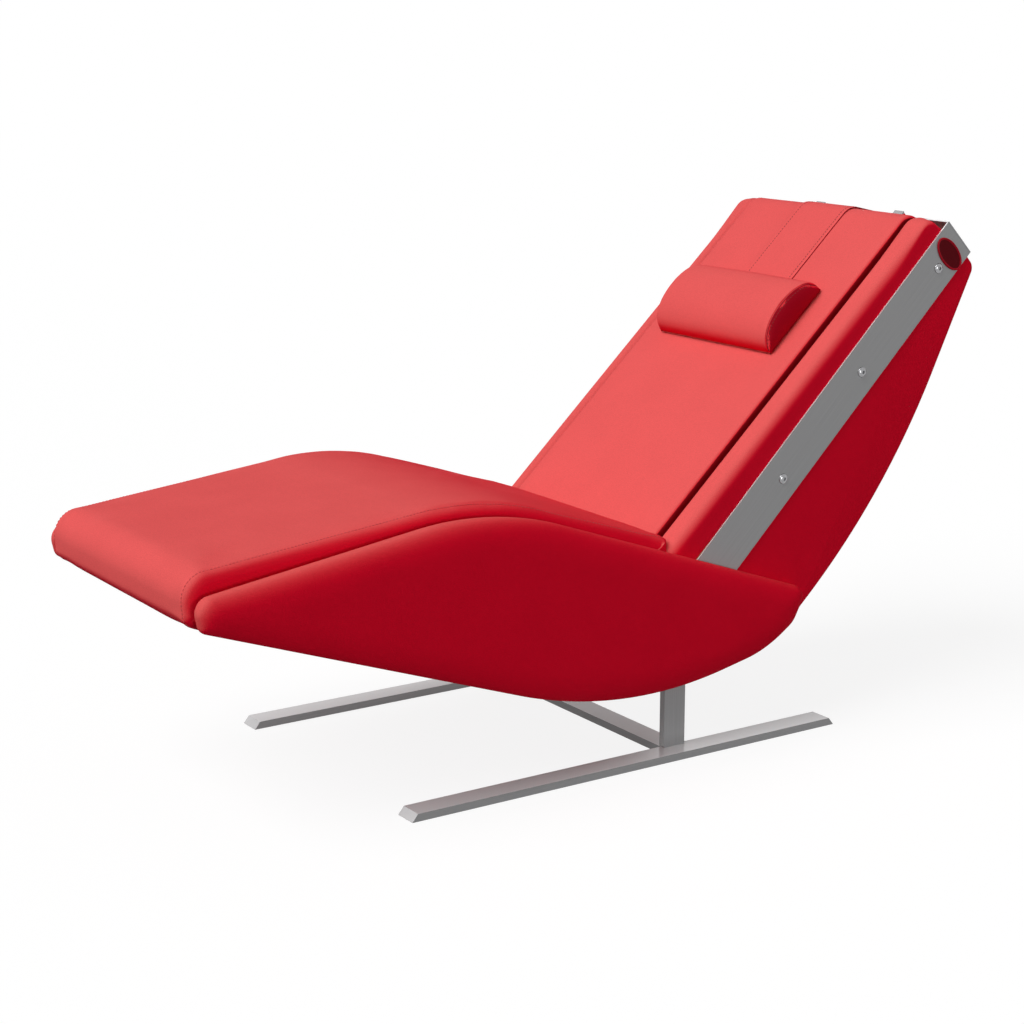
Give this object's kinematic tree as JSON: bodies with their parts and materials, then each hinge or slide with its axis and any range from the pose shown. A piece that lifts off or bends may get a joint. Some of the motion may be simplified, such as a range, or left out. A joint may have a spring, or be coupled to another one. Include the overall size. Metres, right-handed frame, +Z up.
{
  "type": "relaxation lounger",
  "caption": "Leather relaxation lounger with a reclining padded back, sliding head pillow and whale-shaped side panels, standing on a skid base of flat steel bar.",
  "frame": {"origin": "on the floor, in the middle of the base crossbar's underside", "axes": "+X along the lounger to the head end, +Y to the sitter's right, +Z up"},
  "size_m": [1.7995, 0.668, 1.0145],
  "materials": {
    "red_leather": "satin",
    "brushed_steel": "brushed",
    "polished_steel": "polished",
    "painted_steel": "matt black",
    "plywood": "raw",
    "bronze": "sintered"
  },
  "bodies": {
    "root": {"rail_left": "brushed_steel", "rail_right": "brushed_steel", "post_left": "brushed_steel", "post_right": "brushed_steel", "base_crossbar": "brushed_steel", "side_plate_left": "brushed_steel", "side_plate_right": "brushed_steel", "seat_beam": "painted_steel", "strut_anchor_tube": "painted_steel", "strut_bracket": "brushed_steel", "strut_cylinder": "painted_steel", "side_board_left": "plywood", "side_board_right": "plywood", "side_pad_left": "red_leather", "side_pad_right": "red_leather", "pivot_bush_left": "bronze", "pivot_bush_right": "bronze", "seat_deck": "plywood", "seat_cushion": "red_leather", "belly_cover": "red_leather"},
    "back": {"recline_shaft": "brushed_steel", "recline_lever_left": "brushed_steel", "recline_lever_right": "brushed_steel", "lever_pin": "brushed_steel", "back_board": "plywood", "back_cheek_left": "red_leather", "back_cheek_right": "red_leather", "back_floor": "plywood", "back_shell": "red_leather", "back_pad": "red_leather", "bolster_left": "red_leather", "bolster_right": "red_leather", "back_strip_left": "brushed_steel", "back_strip_right": "brushed_steel", "back_top_plate": "brushed_steel", "strip_screw_left_1": "polished_steel", "strip_screw_left_2": "polished_steel", "strip_screw_left_3": "polished_steel", "strip_screw_right_1": "polished_steel", "strip_screw_right_2": "polished_steel", "strip_screw_right_3": "polished_steel", "badge_plaque": "red_leather", "top_hook_left": "brushed_steel", "top_hook_right": "brushed_steel", "hook_tab_left": "red_leather", "hook_tab_right": "red_leather", "pillow_strap": "red_leather"},
    "strut_rod": {"strut_rod": "polished_steel", "strut_eye": "brushed_steel"},
    "pillow": {"head_pillow": "red_leather"},
    "counterweight": {"counterweight": "red_leather"}
  },
  "joints": [
    {"name": "back_recline", "type": "hinge", "parent": "root", "child": "back", "pos_m": [0.058, 0, 0.3315], "axis": [0, 1, 0], "range_deg": [0, 24]},
    {"name": "strut_slide", "type": "slide", "parent": "root", "child": "strut_rod", "axis": [-1, 0, 0], "range_m": [0, 0.0396]},
    {"name": "pillow_slide", "type": "slide", "parent": "back", "child": "pillow", "axis": [0.7321, 0, 0.6812], "range_m": [-0.05, 0.08]},
    {"name": "counterweight_slide", "type": "slide", "parent": "back", "child": "counterweight", "axis": [-0.4415, 0, -0.8973], "range_m": [-0.05, 0.08]}
  ],
  "couplings": [
    {"joint": "strut_slide", "follows": "back_recline", "m_per_rad": 0.094306},
    {"joint": "counterweight_slide", "follows": "pillow_slide", "ratio": 1}
  ]
}
